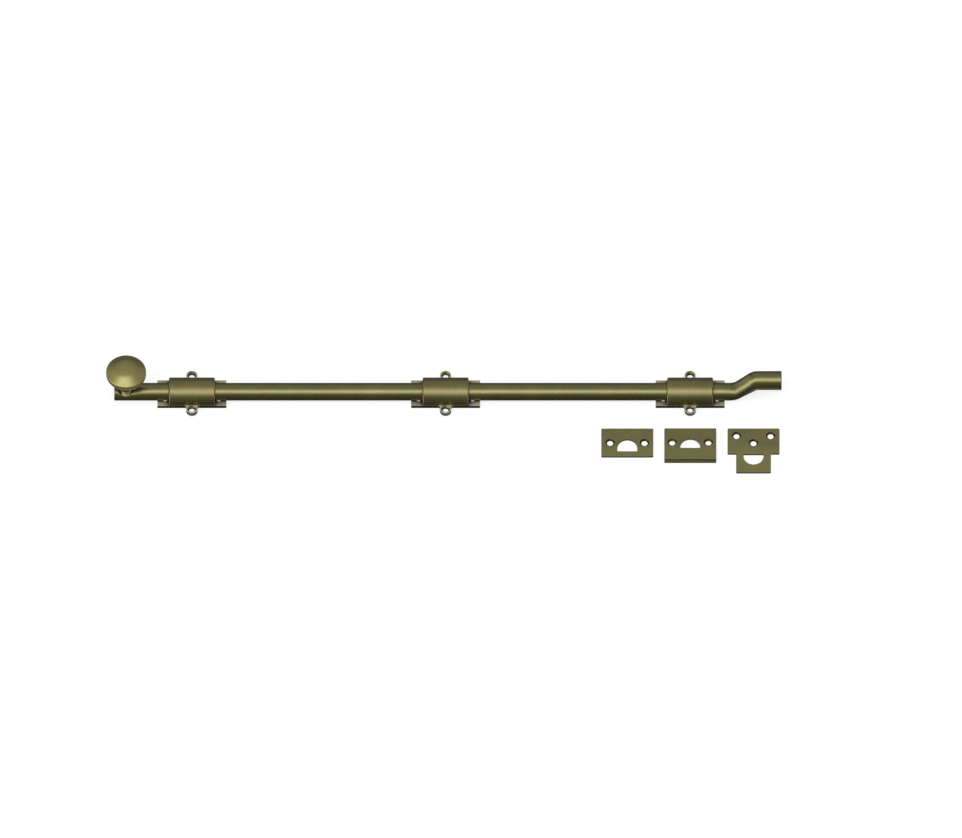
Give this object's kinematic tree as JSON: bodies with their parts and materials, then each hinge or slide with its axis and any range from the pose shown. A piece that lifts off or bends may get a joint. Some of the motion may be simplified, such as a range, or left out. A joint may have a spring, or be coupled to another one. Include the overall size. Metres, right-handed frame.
{
  "type": "offset surface bolt",
  "caption": "Half-round sliding door bolt with a cranked tip and a round knob, running in eared guides, with flat, angle and tee strikes.",
  "frame": {"origin": "centre of the middle guide on the mounting plane, which is the backs of the base plates", "axes": "+X along the bar towards the cranked tip, the way the bolt shoots; +Z away from the door, through the knob; +Y across the bar"},
  "size_m": [0.6603, 0.1191, 0.0471],
  "materials": {
    "antique_brass": "satin antique, brushed and waxed",
    "antique_brass_flat": "satin antique",
    "brass_screws": "satin antique",
    "spring_steel": "plain, lightly oiled"
  },
  "bodies": {
    "root": {"left_base_plate": "antique_brass_flat", "left_housing": "antique_brass", "left_friction_spring": "spring_steel", "left_spring_rivet": "brass_screws", "left_housing_screws": "brass_screws", "middle_base_plate": "antique_brass_flat", "middle_housing": "antique_brass", "middle_friction_spring": "spring_steel", "middle_spring_rivet": "brass_screws", "middle_housing_screws": "brass_screws", "right_base_plate": "antique_brass_flat", "right_housing": "antique_brass", "right_friction_spring": "spring_steel", "right_spring_rivet": "brass_screws", "right_housing_screws": "brass_screws", "flat_strike": "antique_brass_flat", "angle_strike": "antique_brass_flat", "tee_strike": "antique_brass_flat"},
    "bolt": {"bolt_bar": "antique_brass", "knob": "antique_brass", "knob_ferrule": "antique_brass", "knob_screw": "brass_screws"}
  },
  "joints": [
    {"name": "bolt_slide", "type": "slide", "parent": "root", "child": "bolt", "axis": [1, 0, 0], "range_m": [-0.015, 0.033]}
  ]
}
